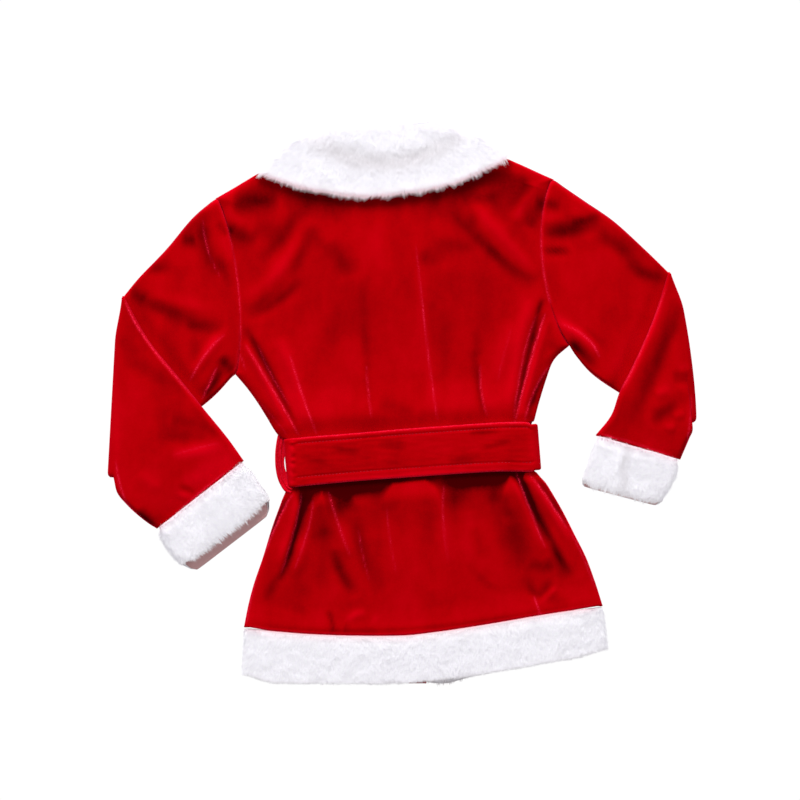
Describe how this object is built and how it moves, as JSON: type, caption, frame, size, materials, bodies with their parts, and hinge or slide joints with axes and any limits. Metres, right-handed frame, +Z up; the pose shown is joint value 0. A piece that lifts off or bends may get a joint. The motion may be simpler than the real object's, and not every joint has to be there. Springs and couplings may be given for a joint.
{
  "type": "santa suit jacket",
  "caption": "Child's velvet Santa jacket with plush fur collar, cuffs and hem and a self-fabric belt, laid flat on its front with its back up and its sleeves folded in.",
  "frame": {"origin": "middle of the bounding box's underside, on the surface that the jacket lies on", "axes": "+X across the jacket, towards the right of its back as seen from above, +Y towards the collar, +Z up out of the back"},
  "size_m": [0.5299, 0.5096, 0.0224],
  "materials": {
    "velvet": "short-pile velvet with a soft sheen",
    "belt_velvet": "top-stitched velvet",
    "fur": "deep white plush pile"
  },
  "bodies": {
    "root": {"back_panel": "velvet", "front_left": "velvet", "front_right": "velvet", "front_placket": "velvet", "sleeve_left": "velvet", "sleeve_right": "velvet", "cuff_left": "fur", "cuff_right": "fur", "collar": "fur", "hem_band": "fur", "belt": "belt_velvet", "belt_loop": "belt_velvet"}
  },
  "joints": []
}
